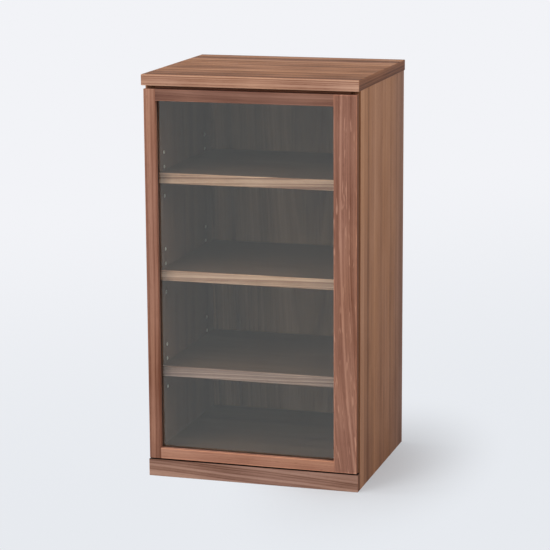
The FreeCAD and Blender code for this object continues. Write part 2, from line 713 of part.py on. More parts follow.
arms, arm_screws, housings, housing_screws, hinge_pins = [], [], [], [], []
for level, height in HINGE_LEVELS:
    arm_low = f"{height} - arm_height / 2"
    name = f"hinge_arm_{level}"
    plate = box(name + "_plate", ["arm_left", "pivot_y - arm_thickness / 2", arm_low],
                ["arm_thickness", "side_front + arm_back_length - pivot_y + arm_thickness / 2",
                 "arm_height"])
    crank = box(name + "_crank", ["arm_left", "pivot_y - arm_thickness / 2", arm_low],
                ["pivot_x - arm_left", "arm_thickness", "arm_height"])
    knuckle = rod(name + "_knuckle", ["pivot_x", "pivot_y", arm_low], None, "knuckle_radius",
                  "arm_height")
    holes = [rod(name + "_bore", ["pivot_x", "pivot_y", arm_low], None,
                 "pivot_pin_radius + fit_clearance", "arm_height")]
    for number, place in enumerate(arm_screw_places()):
        holes.append(rod(f"{name}_hole_{number}", ["arm_left", place, height], "x",
                         "arm_screw_radius", "arm_thickness"))
        holes.append(cone(f"{name}_sink_{number}", ["arm_left", place, height], "x",
                          "arm_screw_head_radius", "arm_screw_radius", "arm_screw_head_height"))
        screw = f"arm_screw_{level}_{number}"
        shank = rod(screw + "_shank", ["arm_left", place, height], "x",
                    "arm_screw_radius - fit_clearance", "arm_screw_length")
        head = cone(screw + "_head", ["arm_left", place, height], "x",
                    "arm_screw_head_radius - fit_clearance", "arm_screw_radius - fit_clearance",
                    "arm_screw_head_height")
        recess = cross_recess(screw, ["0", place, height], "x", -1, "arm_left")
        arm_screws.append(cut(screw, fuse(screw + "_blank", [shank, head]), recess))
    arms.append(cut(name, fuse(name + "_body", [plate, crank, knuckle]), holes))

    name = f"hinge_housing_{level}"
    shell_low = f"{height} - housing_height / 2"
    shell = box(name + "_shell", ["pocket_left - housing_wall", "pocket_front - housing_wall",
                                  shell_low],
                ["housing_width", "housing_depth", "housing_height"])
    flange = box(name + "_flange", ["pocket_left - housing_wall", "door_back - flange_thickness",
                                    f"{height} - flange_height / 2"],
                 ["housing_width", "flange_thickness", "flange_height"])
    hollow = box(name + "_hollow", ["pocket_left", "pocket_front", f"{height} - pocket_height / 2"],
                 ["pocket_right - pocket_left", "door_back - pocket_front", "pocket_height"])
    pin_bore = rod(name + "_pin_bore", ["pivot_x", "pivot_y", shell_low], None,
                   "pivot_pin_radius", "housing_height")
    tools = [hollow, pin_bore]
    pocket = f"door_stile_right_{level}"
    cut_box(stile_right, pocket + "_pocket",
            ["pocket_left - housing_wall", "pocket_front - housing_wall", shell_low],
            ["housing_width", "housing_depth", "housing_height"])
    cut_box(stile_right, pocket + "_flange_seat",
            ["pocket_left - housing_wall", "door_back - flange_thickness",
             f"{height} - flange_height / 2"],
            ["housing_width", "flange_thickness", "flange_height"])
    screw_x = "(pocket_left + pocket_right) / 2"
    for number, sign in enumerate((-1, 1)):
        screw_z = f"{height} + {sign} * flange_screw"
        tools.append(cone(f"{name}_sink_{number}", [screw_x, "door_back - flange_thickness", screw_z],
                          "y", "housing_screw_radius", "housing_screw_head_radius",
                          "flange_thickness"))
        screw = f"housing_screw_{level}_{number}"
        start = [screw_x, "door_back - housing_screw_length", screw_z]
        bore(stile_right, f"{pocket}_screw_{number}", start, "y", "housing_screw_radius",
             "housing_screw_length")
        shank = rod(screw + "_shank", start, "y", "housing_screw_radius - fit_clearance",
                    "housing_screw_length")
        head = cone(screw + "_head", [screw_x, "door_back - flange_thickness", screw_z], "y",
                    "housing_screw_radius - fit_clearance",
                    "housing_screw_head_radius - fit_clearance", "flange_thickness")
        recess = cross_recess(screw, [screw_x, "0", screw_z], "y", 1, "door_back")
        housing_screws.append(cut(screw, fuse(screw + "_blank", [shank, head]), recess))
    housings.append(cut(name, fuse(name + "_body", [shell, flange]), tools))
    hinge_pins.append(rod(f"hinge_pin_{level}", ["pivot_x", "pivot_y", shell_low], None,
                          "pivot_pin_radius", "housing_height"))
group("hinge_arms", arms)
group("hinge_arm_screws", arm_screws)
group("hinge_housings", housings)
group("hinge_housing_screws", housing_screws)
group("hinge_pins", hinge_pins)

# Push latch: a sleeve bored into the left side panel's front edge, with a sprung plunger whose
# magnet meets a strike plate let into the left stile

sleeve_start = ["latch_x", "side_front", "latch_height"]
sleeve = rod("latch_sleeve", sleeve_start, "y", "latch_sleeve_radius", "latch_sleeve_length")
latch_flange = rod("latch_flange", ["latch_x", "side_front - latch_flange_thickness",
                                    "latch_height"], "y",
                   "latch_flange_radius", "latch_flange_thickness")
latch_bore = rod("latch_bore", ["latch_x", "side_front - latch_flange_thickness", "latch_height"],
                 "y", "plunger_radius + fit_clearance",
                 "latch_sleeve_length + latch_flange_thickness - latch_sleeve_end")
housing = cut("latch_housing", fuse("latch_body", [sleeve, latch_flange]), [latch_bore])
housing.Label = "latch_housing"

plunger_body = rod("plunger_body", ["latch_x", "plunger_front", "latch_height"], "y",
                   "plunger_radius", "plunger_length")
magnet_seat = rod("magnet_seat", ["latch_x", "plunger_front", "latch_height"], "y",
                  "magnet_radius", "magnet_thickness")
plunger = cut("latch_plunger", plunger_body, [magnet_seat])
plunger.Label = "latch_plunger"
magnet = rod("latch_magnet", ["latch_x", "plunger_front", "latch_height"], "y",
             "magnet_radius", "magnet_thickness")
magnet.Label = "latch_magnet"
spring_outer = rod("spring_outer", ["latch_x", "plunger_back", "latch_height"], "y",
                   "latch_spring_radius", "spring_length")
spring_inner = rod("spring_inner", ["latch_x", "plunger_back", "latch_height"], "y",
                   "latch_spring_radius - latch_spring_wall", "spring_length")
spring = cut("latch_spring", spring_outer, [spring_inner])
spring.Label = "latch_spring"

strike = rod("strike_plate", ["latch_x", "door_back - strike_thickness", "latch_height"], "y",
             "strike_radius", "strike_thickness")
strike.Label = "strike_plate"
bore(stile_left, "door_stile_left_strike", ["latch_x", "door_back - strike_thickness",
                                            "latch_height"], "y",
     "strike_radius", "strike_thickness")

NODES = [
    "top_board", "side_panel_left", "side_panel_right", "carcass_top", "bottom_panel",
    "back_panel", "plinth_board", "rear_stretcher", "plinth_blocks", "shelf_sockets", "shelf_pins",
    "carcass_dowels", "cam_bolts", "cam_locks", "top_board_screws", "back_panel_screws",
    "hinge_arms", "hinge_arm_screws", "latch_housing",
    "shelf_lower", "shelf_lipping_lower", "shelf_middle", "shelf_lipping_middle", "shelf_upper",
    "shelf_lipping_upper",
    "door_stile_left", "door_stile_right", "door_rail_top", "door_rail_bottom", "door_glass",
    "glazing_gasket", "glazing_beads", "hinge_housings", "hinge_housing_screws", "hinge_pins",
    "strike_plate",
    "latch_plunger", "latch_magnet", "latch_spring",
]

# Each board loses all its cuts and bores in one go

for body, tools in board_cuts.items():
    name = body.Label
    body.Label = name + "_blank"
    finished = cut(name + "_finished", body, tools)
    finished.Label = name

doc.recompute()
failed = [item.Name for item in doc.Objects if {"Invalid", "Error"} & set(item.State)]
if failed:
    raise RuntimeError(f"these objects didn't recompute: {failed}")

os.makedirs("parts", exist_ok=True)
shapes = {}
for name in NODES:
    shape = doc.getObjectsByLabel(name)[0].Shape
    if shape.isNull() or not shape.isValid():
        raise RuntimeError(f"{name} has no valid shape")
    shapes[name] = shape
for name, shape in shapes.items():
    shape.exportStep(f"parts/{name}.step")
    print(f"{name}: {len(shape.Solids)} solids, {shape.Volume:.1f} mm3")
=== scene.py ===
import math

import bmesh
import bpy
from mathutils import Matrix, Vector


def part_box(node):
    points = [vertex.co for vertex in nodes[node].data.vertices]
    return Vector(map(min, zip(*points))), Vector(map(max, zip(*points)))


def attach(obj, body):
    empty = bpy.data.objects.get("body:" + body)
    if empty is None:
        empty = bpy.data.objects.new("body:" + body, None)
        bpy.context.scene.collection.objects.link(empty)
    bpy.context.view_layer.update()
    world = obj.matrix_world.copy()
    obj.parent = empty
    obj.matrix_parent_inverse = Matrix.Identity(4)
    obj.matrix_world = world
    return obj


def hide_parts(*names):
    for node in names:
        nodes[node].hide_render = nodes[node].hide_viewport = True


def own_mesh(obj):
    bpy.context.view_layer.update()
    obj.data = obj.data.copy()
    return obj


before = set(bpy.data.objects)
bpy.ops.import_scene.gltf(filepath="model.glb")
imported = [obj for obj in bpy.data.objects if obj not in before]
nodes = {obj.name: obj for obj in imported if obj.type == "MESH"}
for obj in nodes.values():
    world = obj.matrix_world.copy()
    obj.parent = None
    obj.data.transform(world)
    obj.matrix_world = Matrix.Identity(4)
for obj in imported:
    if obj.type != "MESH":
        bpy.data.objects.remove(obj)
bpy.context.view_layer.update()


# The top board: one 22 mm walnut-veneered panel, grain running across the cabinet, with a paler
# solid edge at the front. It overhangs the sides by 2 mm and is screwed on from below. The walnut
# grain, the pale edges, partly wear and partly painted highlight, and the sawing of a board from
# the log are made here, for every board.


def srgb(red, green, blue):
    """A colour given as it looks on screen, 0 to 255, in the linear values that shaders take."""
    def linear(part):
        part /= 255
        return part / 12.92 if part <= 0.04045 else ((part + 0.055) / 1.055) ** 2.4
    return (linear(red), linear(green), linear(blue), 1.0)


def add(tree, kind, values=None, **options):
    """Adds one shader node with its options. Each input is given by name or number, as a value or
    as the output that is linked to it."""
    node = tree.nodes.new(kind)
    for name, value in options.items():
        setattr(node, name, value)
    for key, value in (values or {}).items():
        if isinstance(value, bpy.types.NodeSocket):
            tree.links.new(value, node.inputs[key])
        else:
            node.inputs[key].default_value = value
    return node


def work_out(tree, operation, *values, clamp=False):
    """One step of arithmetic on numbers."""
    return add(tree, "ShaderNodeMath", dict(enumerate(values)),
               operation=operation, use_clamp=clamp).outputs[0]


def move(tree, operation, *points):
    """One step of arithmetic on points."""
    return add(tree, "ShaderNodeVectorMath", dict(enumerate(points)),
               operation=operation).outputs["Vector"]


def measure(tree, operation, *points):
    """A number worked out from points, such as a length."""
    return add(tree, "ShaderNodeVectorMath", dict(enumerate(points)),
               operation=operation).outputs["Value"]


def stretch(tree, point, factor):
    """A point moved away from the origin, or towards it, by a factor."""
    return add(tree, "ShaderNodeVectorMath", {0: point, "Scale": factor},
               operation="SCALE").outputs["Vector"]


def split(tree, point):
    """The X, Y and Z of a point."""
    return add(tree, "ShaderNodeSeparateXYZ", {0: point}).outputs


def join(tree, *parts):
    """A point from its X, Y and Z. One that isn't given is 0."""
    return add(tree, "ShaderNodeCombineXYZ", dict(enumerate(parts))).outputs[0]


def step_between(tree, value, low, high):
    """0 at low, 1 at high, and a soft change between them. Low may be the greater one."""
    return add(tree, "ShaderNodeMapRange", {"Value": value, "From Min": low, "From Max": high},
               interpolation_type="SMOOTHSTEP").outputs[0]


# The inputs and the output that a Mix node has for colours
MIX_SHARE, MIX_FIRST, MIX_SECOND, MIX_RESULT = 0, 6, 7, 2


def blend_colours(tree, share, first, second, how="MIX"):
    """The first colour turned towards the second by the share."""
    values = {MIX_SHARE: share, MIX_FIRST: first, MIX_SECOND: second}
    return add(tree, "ShaderNodeMix", values,
               data_type="RGBA", blend_type=how).outputs[MIX_RESULT]


def tinted(tree, colour, tint):
    """A colour multiplied by a tint."""
    return blend_colours(tree, 1.0, colour, tint, "MULTIPLY")


def noise(tree, point, cells, detail=2.0, roughness=0.5):
    """Cloudy noise of 0 to 1, with so many cells to a metre along each axis. Gives its value, and
    as Color three such values at once."""
    values = {"Vector": move(tree, "MULTIPLY", point, cells), "Scale": 1.0, "Detail": detail,
              "Roughness": roughness}
    return add(tree, "ShaderNodeTexNoise", values).outputs


def new_group(name, takes, gives):
    """An empty node group with named sockets. Gives the group, what comes in and what goes out."""
    group = bpy.data.node_groups.new(name, "ShaderNodeTree")
    for label, kind in takes:
        group.interface.new_socket(label, in_out="INPUT", socket_type="NodeSocket" + kind)
    for label, kind in gives:
        group.interface.new_socket(label, in_out="OUTPUT", socket_type="NodeSocket" + kind)
    coming = group.nodes.new("NodeGroupInput").outputs
    going = group.nodes.new("NodeGroupOutput").inputs
    return group, coming, going


def place_group(tree, group, values):
    """The group as one node of a material, with this material's own values. Gives its outputs."""
    return add(tree, "ShaderNodeGroup", values, node_tree=group).outputs


# Walnut grain, in the log: Z runs up the trunk, and X and Y cross it. Rings circle the heart line
# and close towards the top by Taper, which draws arches where a board is cut flat. Lean and Curve
# bend the trunk, and Wander makes it waver. Bands and clouds are the slow changes of tone, lines,
# flecks and pores the fine figure, and Downward Darkening is how much darker each metre down is.
# A streak is one dark stripe up the board, sapwood one pale stripe, and the grey stripe one greyer
# stripe.
walnut_grain, coming, going = new_group(
    "walnut grain",
    [("Point", "Vector"), ("Heart", "Vector"), ("Taper", "Float"), ("Lean", "Float"),
     ("Curve", "Float"), ("Wander", "Float"), ("Seed", "Float"), ("Band Width", "Float"),
     ("Band Depth", "Float"), ("Line Width", "Float"), ("Line Depth", "Float"),
     ("Ring Width", "Float"), ("Ring Depth", "Float"), ("Cloud Depth", "Float"),
     ("Fleck Depth", "Float"), ("Pore Depth", "Float"), ("Downward Darkening", "Float"),
     ("Streak Place", "Float"), ("Streak Width", "Float"), ("Streak Depth", "Float"),
     ("Sapwood Place", "Float"), ("Sapwood Width", "Float"), ("Sapwood Depth", "Float"),
     ("Grey Stripe Place", "Float"), ("Grey Stripe Width", "Float"), ("Grey Stripe Depth", "Float"),
     ("Light", "Color"), ("Middle", "Color"), ("Dark", "Color")],
    [("Color", "Color"), ("Height", "Float"), ("Dullness", "Float")])
# How far a seed moves the noise along each axis, so that no two boards share a figure
SEED_STEPS = (1.37, 2.11, 3.59)
LINE_SHIFT = 5.3
# Cells of noise to a metre, twice across the trunk and then up it
SWAY_CELLS = (7.0, 7.0, 2.0)
BLUSH_CELLS = (11.0, 11.0, 3.0)
CLOUD_CELLS = (16.0, 16.0, 6.0)
FADING_CELLS = (35.0, 35.0, 5.0)
FLECK_CELLS = (260.0, 260.0, 26.0)
FIBRE_CELLS = (520.0, 520.0, 9.0)
PORE_CELLS = (2300.0, 2300.0, 75.0)
# Where each of these starts and is full, in its own noise or on the way through a ring
BLUSH_SPAN = (0.30, 0.70)
FADING_SPAN = (0.30, 0.65)
FLECK_SPAN = (0.62, 0.74)
PORE_SPAN = (0.60, 0.70)
LATE_WOOD_RISE = (0.25, 0.90)
LATE_WOOD_FALL = (1.0, 0.93)
# Shares of the parts, in the tone, the surface's height and its dullness
UNEVEN_RINGS = 3.0
EARLY_WOOD_PORES = 0.45
FIBRE_DEPTH = 0.7
FIBRE_HEIGHT = 0.35
PORE_HEIGHT = -0.8
PORE_DULLNESS = 0.5
CLOUD_DULLNESS = 0.6
YELLOWER = (1.03, 1.00, 0.95, 1.0)
PINKER = (0.99, 0.98, 1.02, 1.0)
GREYER = (0.68, 0.72, 0.88, 1.0)
PORE_TINT = (0.52, 0.46, 0.42, 1.0)
ACROSS_TRUNK = (1.0, 1.0, 0.0)
HALF = 0.5


def in_log(operation, *values, clamp=False):
    """One step of arithmetic on numbers, inside the walnut grain."""
    return work_out(walnut_grain, operation, *values, clamp=clamp)


def centred(value):
    """A value of 0 to 1 moved to lie about 0."""
    return in_log("SUBTRACT", value, HALF)


seed_shift = join(walnut_grain, *(in_log("MULTIPLY", coming["Seed"], step) for step in SEED_STEPS))
cell = move(walnut_grain, "ADD", coming["Point"], seed_shift)
sway = noise(walnut_grain, cell, SWAY_CELLS)["Color"]
sway = move(walnut_grain, "SUBTRACT", sway, (HALF, HALF, HALF))
sway = move(walnut_grain, "MULTIPLY", sway, ACROSS_TRUNK)
sway = stretch(walnut_grain, sway, coming["Wander"])
up_trunk = split(walnut_grain, coming["Point"])[2]
bend = in_log("MULTIPLY_ADD", up_trunk, coming["Curve"], coming["Lean"])
bend = join(walnut_grain, in_log("MULTIPLY", up_trunk, bend))
straightened = move(walnut_grain, "SUBTRACT", coming["Point"], bend)
straightened = move(walnut_grain, "ADD", straightened, sway)
fine_cell = move(walnut_grain, "ADD", straightened, seed_shift)
from_heart = move(walnut_grain, "SUBTRACT", straightened, coming["Heart"])
from_heart = move(walnut_grain, "MULTIPLY", from_heart, ACROSS_TRUNK)
radius = in_log("SUBTRACT", measure(walnut_grain, "LENGTH", from_heart),
                in_log("MULTIPLY", up_trunk, coming["Taper"]))


def across_rings(width, detail, roughness, shift=0.0):
    """Noise that changes only from ring to ring, as growth does, 0 to 1."""
    place = in_log("ADD", in_log("DIVIDE", radius, width), in_log("ADD", coming["Seed"], shift))
    values = {"W": place, "Scale": 1.0, "Detail": detail, "Roughness": roughness}
    return add(walnut_grain, "ShaderNodeTexNoise", values, noise_dimensions="1D").outputs[0]


band = across_rings(coming["Band Width"], detail=2.0, roughness=0.5)
line = across_rings(coming["Line Width"], detail=3.0, roughness=0.7, shift=LINE_SHIFT)
ring = in_log("ADD", in_log("DIVIDE", radius, coming["Ring Width"]),
              in_log("MULTIPLY", band, UNEVEN_RINGS))
ring = in_log("FRACT", ring)
late_wood = in_log("MULTIPLY", step_between(walnut_grain, ring, *LATE_WOOD_RISE),
                   step_between(walnut_grain, ring, *LATE_WOOD_FALL))
fading = noise(walnut_grain, fine_cell, FADING_CELLS)[0]
late_wood = in_log("MULTIPLY", late_wood, step_between(walnut_grain, fading, *FADING_SPAN))
cloud = noise(walnut_grain, cell, CLOUD_CELLS)[0]
fibre = noise(walnut_grain, fine_cell, FIBRE_CELLS, detail=3.0, roughness=0.6)[0]
fleck = noise(walnut_grain, fine_cell, FLECK_CELLS, detail=1.0)[0]
fleck = step_between(walnut_grain, fleck, *FLECK_SPAN)
pore = noise(walnut_grain, fine_cell, PORE_CELLS, detail=1.0)[0]
pore = in_log("MULTIPLY", step_between(walnut_grain, pore, *PORE_SPAN),
              in_log("ADD", late_wood, EARLY_WOOD_PORES), clamp=True)
across_board = split(walnut_grain, straightened)[0]
stripes = {}
for stripe in ("Streak", "Sapwood", "Grey Stripe"):
    aside = in_log("ABSOLUTE", in_log("SUBTRACT", across_board, coming[stripe + " Place"]))
    in_stripe = step_between(walnut_grain, aside, coming[stripe + " Width"], 0.0)
    stripes[stripe] = in_log("MULTIPLY", in_stripe, coming[stripe + " Depth"])

# The tone: 0 is the light colour, 0.5 the middle one and 1 the dark one
down_trunk = in_log("MULTIPLY", up_trunk, -1.0)
tone = in_log("MULTIPLY_ADD", centred(band), coming["Band Depth"], HALF)
for part, part_depth in (
        (centred(line), coming["Line Depth"]), (late_wood, coming["Ring Depth"]),
        (centred(cloud), coming["Cloud Depth"]), (centred(fibre), FIBRE_DEPTH),
        (stripes["Streak"], 1.0), (stripes["Sapwood"], -1.0), (down_trunk, coming["Downward Darkening"])):
    tone = in_log("MULTIPLY_ADD", part, part_depth, tone)
tone = in_log("SUBTRACT", tone, in_log("MULTIPLY", fleck, coming["Fleck Depth"]))
pale_half = in_log("MULTIPLY", tone, 2.0, clamp=True)
deep_half = in_log("MULTIPLY_ADD", tone, 2.0, -1.0, clamp=True)
wood_colour = blend_colours(walnut_grain, pale_half, coming["Light"], coming["Middle"])
wood_colour = blend_colours(walnut_grain, deep_half, wood_colour, coming["Dark"])
blush = step_between(walnut_grain, noise(walnut_grain, cell, BLUSH_CELLS)[0], *BLUSH_SPAN)
blush_tint = blend_colours(walnut_grain, blush, YELLOWER, PINKER)
wood_colour = tinted(walnut_grain, wood_colour, blush_tint)
greyed_colour = tinted(walnut_grain, wood_colour, GREYER)
wood_colour = blend_colours(walnut_grain, stripes["Grey Stripe"], wood_colour, greyed_colour)
in_pore = in_log("MULTIPLY", pore, coming["Pore Depth"])
pore_colour = tinted(walnut_grain, wood_colour, PORE_TINT)
wood_colour = blend_colours(walnut_grain, in_pore, wood_colour, pore_colour)
wood_height = in_log("MULTIPLY_ADD", pore, PORE_HEIGHT, in_log("MULTIPLY", fibre, FIBRE_HEIGHT))
wood_dullness = in_log("MULTIPLY_ADD", pore, PORE_DULLNESS,
                       in_log("MULTIPLY", cloud, CLOUD_DULLNESS))
walnut_grain.links.new(wood_colour, going["Color"])
walnut_grain.links.new(wood_height, going["Height"])
walnut_grain.links.new(wood_dullness, going["Dullness"])

# Pale edges: 1 along a board's twelve edges and 0 elsewhere. They are partly wear, where hands and
# cloths wear the finish thin, and partly painted highlight where the rounded edges catch the light.
wear_and_highlight_edges, coming, going = new_group(
    "wear and highlight edges",
    [("Point", "Vector"), ("Low Corner", "Vector"), ("High Corner", "Vector"), ("Reach", "Float")],
    [("Edge", "Float")])
EDGE_BREAKUP_CELLS = (70.0, 70.0, 70.0)
LEAST_REACH = 0.4
from_low = move(wear_and_highlight_edges, "SUBTRACT", coming["Point"], coming["Low Corner"])
from_high = move(wear_and_highlight_edges, "SUBTRACT", coming["High Corner"], coming["Point"])
in_x, in_y, in_z = split(wear_and_highlight_edges, move(wear_and_highlight_edges, "MINIMUM", from_low, from_high))
nearer = work_out(wear_and_highlight_edges, "MINIMUM", in_x, in_y)
farther = work_out(wear_and_highlight_edges, "MAXIMUM", in_x, in_y)
farther = work_out(wear_and_highlight_edges, "MINIMUM", farther, in_z)
from_edge = work_out(wear_and_highlight_edges, "MAXIMUM", nearer, farther)
edge_breakup = noise(wear_and_highlight_edges, coming["Point"], EDGE_BREAKUP_CELLS, detail=3.0)[0]
edge_reach = work_out(wear_and_highlight_edges, "MULTIPLY", coming["Reach"],
                     work_out(wear_and_highlight_edges, "ADD", edge_breakup, LEAST_REACH))
wear_and_highlight_edges.links.new(step_between(wear_and_highlight_edges, from_edge, edge_reach, 0.0), going["Edge"])

AXES = {"X": 0, "Y": 1, "Z": 2}
STRAIGHT_GRAIN = {
    "Heart": (0.5, 0.1, 0.0), "Taper": 0.0, "Lean": 0.0, "Curve": 0.0, "Wander": 0.010,
    "Band Width": 0.030, "Band Depth": 1.5, "Line Width": 0.005, "Line Depth": 1.2,
    "Ring Width": 0.009, "Ring Depth": 0.15, "Cloud Depth": 0.45, "Fleck Depth": 0.0,
    "Pore Depth": 0.7, "Downward Darkening": 0.0,
    "Streak Place": 0.0, "Streak Width": 0.01, "Streak Depth": 0.0,
    "Sapwood Place": 0.0, "Sapwood Width": 0.01, "Sapwood Depth": 0.0,
    "Grey Stripe Place": 0.0, "Grey Stripe Width": 0.01, "Grey Stripe Depth": 0.0}
# How squarely a face has to look along an axis to be one of the faces across it
FACING_SPAN = (0.6, 0.8)
WEAR_AND_HIGHLIGHT_TINT = (1.65, 1.58, 1.50, 1.0)
OILED_ROUGHNESS = 0.56
DULLNESS_SWING = 0.16
OILED_SPECULAR = 0.08
PORE_BUMP = 0.0002
PORE_BUMP_STRENGTH = 0.35


def new_material(name):
    """A node material with nothing in it, and its tree."""
    material = bpy.data.materials.new(name)
    material.use_nodes = True
    material.node_tree.nodes.clear()
    return material, material.node_tree


def finish_with(tree, shader, output="ShaderNodeOutputMaterial"):
    """Sends a shader to the output of its material or world."""
    tree.links.new(shader, tree.nodes.new(output).inputs["Surface"])


def coat_node(name, material):
    """Gives a carried-over piece its material, in every slot it has."""
    slots = nodes[name].data.materials
    if not slots:
        slots.append(material)
    for number in range(len(slots)):
        slots[number] = material


def cut_from_log(tree, spot, across, thick, along):
    """A point of a board turned so that the grain runs along Z, as in the log."""
    parts = split(tree, spot)
    return join(tree, parts[AXES[across]], parts[AXES[thick]], parts[AXES[along]])


def lay_grain(tree, spot, sawn, colours, seed, figure):
    """Walnut grain on one face or strip, sawn from the log across, thick and along three axes."""
    light, middle, dark = colours
    return place_group(tree, walnut_grain, {
        **STRAIGHT_GRAIN, **figure, "Point": cut_from_log(tree, spot, *sawn), "Seed": seed,
        "Light": light, "Middle": middle, "Dark": dark})


def faces_along(tree, axis):
    """1 on the faces that look along one axis of the cabinet, and 0 on the others. X is both
    faces across it, and +X or -X is one of them."""
    facing = add(tree, "ShaderNodeTexCoord").outputs["Normal"]
    part = split(tree, facing)[AXES[axis[-1]]]
    if axis[0] == "-":
        part = work_out(tree, "MULTIPLY", part, -1.0)
    elif axis[0] != "+":
        part = work_out(tree, "ABSOLUTE", part)
    return step_between(tree, part, *FACING_SPAN)


def walnut_board(node, sawn, colours, seed, figure=STRAIGHT_GRAIN, strips=(), wear_and_highlight_strength=0.35,
                 reach=0.0022):
    """One board with its own figure. Strips are the edges glued over with other wood: each is the
    axis that the strip faces, how it is sawn, its colours and its figure. Wear and highlight
    strength is how pale the edges are, partly as wear and partly as painted highlight, and reach
    how wide, in metres."""
    material, tree = new_material("wood_" + node)
    low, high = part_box(node)
    spot = add(tree, "ShaderNodeTexCoord").outputs["Object"]
    inside = move(tree, "SUBTRACT", spot, tuple((low + high) / 2))
    grain = lay_grain(tree, inside, sawn, colours, seed, figure)
    colour, height, dullness = grain["Color"], grain["Height"], grain["Dullness"]
    for number, (axis, strip_sawn, strip_colours, strip_figure) in enumerate(strips, start=1):
        strip = lay_grain(tree, inside, strip_sawn, strip_colours, seed + number, strip_figure)
        on_strip = faces_along(tree, axis)
        off_strip = work_out(tree, "SUBTRACT", 1.0, on_strip)
        colour = blend_colours(tree, on_strip, colour, strip["Color"])
        height = work_out(tree, "ADD", work_out(tree, "MULTIPLY", strip["Height"], on_strip),
                          work_out(tree, "MULTIPLY", height, off_strip))
    edge = place_group(tree, wear_and_highlight_edges, {
        "Point": spot, "Low Corner": tuple(low), "High Corner": tuple(high), "Reach": reach})
    # Paler edges: partly wear, partly painted highlight.
    wear_and_highlight_colour = tinted(tree, colour, WEAR_AND_HIGHLIGHT_TINT)
    colour = blend_colours(tree, work_out(tree, "MULTIPLY", edge["Edge"], wear_and_highlight_strength), colour, wear_and_highlight_colour)
    bump = add(tree, "ShaderNodeBump", {
        "Height": height, "Strength": PORE_BUMP_STRENGTH, "Distance": PORE_BUMP})
    shader = add(tree, "ShaderNodeBsdfPrincipled", {
        "Base Color": colour,
        "Roughness": work_out(tree, "MULTIPLY_ADD", dullness, DULLNESS_SWING, OILED_ROUGHNESS),
        "Specular IOR Level": OILED_SPECULAR,
        "Normal": bump.outputs[0]})
    finish_with(tree, shader.outputs[0])
    coat_node(node, material)


TOP_COLOURS = (srgb(179, 131, 97), srgb(145, 99, 69), srgb(98, 61, 38))
TOP_FRONT_EDGE = (
    "Y", "ZYX", (srgb(220, 180, 153), srgb(194, 151, 126), srgb(149, 106, 84)),
    {"Band Width": 0.010, "Band Depth": 1.8, "Line Width": 0.0025, "Line Depth": 2.6,
     "Cloud Depth": 0.9, "Wander": 0.003,
     "Streak Place": 0.001, "Streak Width": 0.004, "Streak Depth": 0.3})
TOP_SIDE_EDGE = (
    "X", "ZXY", (srgb(138, 94, 68), srgb(114, 74, 53), srgb(80, 50, 35)),
    {"Band Width": 0.010, "Band Depth": 2.0, "Line Width": 0.004, "Line Depth": 2.6,
     "Wander": 0.003})
walnut_board(
    "top_board", "YZX", TOP_COLOURS, seed=3.1, strips=(TOP_FRONT_EDGE, TOP_SIDE_EDGE), wear_and_highlight_strength=0.12,
    figure={"Band Width": 0.030, "Band Depth": 2.6, "Line Width": 0.0035, "Line Depth": 3.4,
            "Cloud Depth": 1.3,
            "Streak Place": -0.172, "Streak Width": 0.032, "Streak Depth": 0.55,
            "Grey Stripe Place": 0.150, "Grey Stripe Width": 0.11, "Grey Stripe Depth": 0.35})


# The side panels: two 21 mm walnut-veneered panels down to the floor, grain upright, with strips
# on their front and back edges. A paler band runs up the right one beside its front edge, and the
# faces inside the cabinet are plainer and a little darker.
SIDE_COLOURS = (srgb(173, 128, 97), srgb(148, 105, 77), srgb(108, 70, 47))
SIDE_EDGE = ("Y", "XYZ", SIDE_COLOURS, {"Band Width": 0.012, "Wander": 0.003})
INNER_COLOURS = (srgb(133, 104, 86), srgb(114, 88, 72), srgb(90, 69, 56))
INNER_FIGURE = {"Band Width": 0.050, "Band Depth": 0.8, "Line Depth": 0.25, "Ring Depth": 0.0}
walnut_board("side_panel_left", "YXZ", SIDE_COLOURS, seed=5.7,
             strips=(SIDE_EDGE, ("+X", "YXZ", INNER_COLOURS, INNER_FIGURE)),
             figure={"Heart": (-0.09, 0.12, 0.0), "Taper": 0.02, "Wander": 0.014,
                     "Line Depth": 0.35, "Band Depth": 1.2, "Ring Depth": 0.1})
# Painted shade on the right panel: darker towards its foot and greyer towards its back.
walnut_board("side_panel_right", "YXZ", SIDE_COLOURS, seed=8.2,
             strips=(SIDE_EDGE, ("-X", "YXZ", INNER_COLOURS, INNER_FIGURE)),
             figure={"Heart": (0.5, 0.12, 0.0), "Wander": 0.012, "Band Width": 0.040,
                     "Band Depth": 1.1, "Line Depth": 0.45, "Ring Depth": 0.05, "Downward Darkening": 0.46,
                     "Streak Place": -0.120, "Streak Width": 0.018, "Streak Depth": 0.38,
                     "Sapwood Place": -0.158, "Sapwood Width": 0.034, "Sapwood Depth": 0.30,
                     "Grey Stripe Place": 0.190, "Grey Stripe Width": 0.14, "Grey Stripe Depth": 1.0})


# The carcass top and the bottom panel: 21 mm panels between the sides, grain across, dark like the
# rest of the inside, partly a stain and partly painted shade, with a redder strip on their front
# edges that is painted brighter than the wood, as light caught in the gap under the top board. Cam
# locks pull them to the sides.
INSIDE_STAIN_AND_PAINTED_SHADE_COLOURS = (srgb(111, 88, 72), srgb(94, 73, 59), srgb(73, 56, 46))
INSIDE_FIGURE = {"Band Depth": 0.5, "Line Depth": 0.15, "Pore Depth": 0.2}
